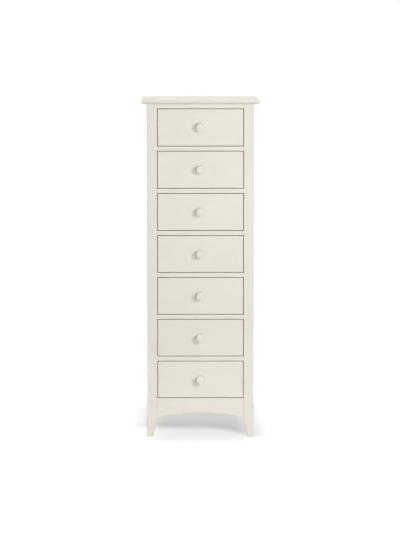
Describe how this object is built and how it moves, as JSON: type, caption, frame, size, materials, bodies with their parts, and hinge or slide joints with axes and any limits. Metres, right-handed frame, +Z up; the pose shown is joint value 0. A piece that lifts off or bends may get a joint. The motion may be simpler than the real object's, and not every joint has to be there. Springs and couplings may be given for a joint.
{
  "type": "narrow chest of drawers",
  "caption": "Tall narrow painted chest of drawers: flat inset fronts with round knobs slide out between square posts on tapered feet, under an overhanging moulded top, above an arched apron.",
  "frame": {"origin": "on the floor under the centre of the chest's bounding box", "axes": "+Z up, +X to the right seen from the front, the drawers open towards -Y"},
  "size_m": [0.44, 0.407, 1.27],
  "materials": {
    "painted_wood": "satin ivory paint",
    "bare_wood": "sanded bare softwood",
    "sheet_wood": "thin sheet wood"
  },
  "bodies": {
    "carcass": {"top": "painted_wood", "post_front_left": "painted_wood", "post_front_right": "painted_wood", "post_back_left": "painted_wood", "post_back_right": "painted_wood", "side_panel_left": "painted_wood", "side_panel_right": "painted_wood", "top_rail": "painted_wood", "divider_rails": "painted_wood", "apron": "painted_wood", "bottom_rail": "bare_wood", "back_rails": "bare_wood", "runners_left": "bare_wood", "runners_right": "bare_wood", "drawer_stops": "bare_wood", "corner_blocks": "bare_wood", "back_panel": "sheet_wood"},
    "drawer_1": {"drawer_1_front": "painted_wood", "drawer_1_sides": "bare_wood", "drawer_1_back": "bare_wood", "drawer_1_bottom": "sheet_wood", "drawer_1_knob": "painted_wood"},
    "drawer_2": {"drawer_2_front": "painted_wood", "drawer_2_sides": "bare_wood", "drawer_2_back": "bare_wood", "drawer_2_bottom": "sheet_wood", "drawer_2_knob": "painted_wood"},
    "drawer_3": {"drawer_3_front": "painted_wood", "drawer_3_sides": "bare_wood", "drawer_3_back": "bare_wood", "drawer_3_bottom": "sheet_wood", "drawer_3_knob": "painted_wood"},
    "drawer_4": {"drawer_4_front": "painted_wood", "drawer_4_sides": "bare_wood", "drawer_4_back": "bare_wood", "drawer_4_bottom": "sheet_wood", "drawer_4_knob": "painted_wood"},
    "drawer_5": {"drawer_5_front": "painted_wood", "drawer_5_sides": "bare_wood", "drawer_5_back": "bare_wood", "drawer_5_bottom": "sheet_wood", "drawer_5_knob": "painted_wood"},
    "drawer_6": {"drawer_6_front": "painted_wood", "drawer_6_sides": "bare_wood", "drawer_6_back": "bare_wood", "drawer_6_bottom": "sheet_wood", "drawer_6_knob": "painted_wood"},
    "drawer_7": {"drawer_7_front": "painted_wood", "drawer_7_sides": "bare_wood", "drawer_7_back": "bare_wood", "drawer_7_bottom": "sheet_wood", "drawer_7_knob": "painted_wood"}
  },
  "joints": [
    {"name": "drawer_1_slide", "type": "slide", "parent": "carcass", "child": "drawer_1", "axis": [0, -1, 0], "range_m": [0, 0.24]},
    {"name": "drawer_2_slide", "type": "slide", "parent": "carcass", "child": "drawer_2", "axis": [0, -1, 0], "range_m": [0, 0.24]},
    {"name": "drawer_3_slide", "type": "slide", "parent": "carcass", "child": "drawer_3", "axis": [0, -1, 0], "range_m": [0, 0.24]},
    {"name": "drawer_4_slide", "type": "slide", "parent": "carcass", "child": "drawer_4", "axis": [0, -1, 0], "range_m": [0, 0.24]},
    {"name": "drawer_5_slide", "type": "slide", "parent": "carcass", "child": "drawer_5", "axis": [0, -1, 0], "range_m": [0, 0.24]},
    {"name": "drawer_6_slide", "type": "slide", "parent": "carcass", "child": "drawer_6", "axis": [0, -1, 0], "range_m": [0, 0.24]},
    {"name": "drawer_7_slide", "type": "slide", "parent": "carcass", "child": "drawer_7", "axis": [0, -1, 0], "range_m": [0, 0.24]}
  ]
}
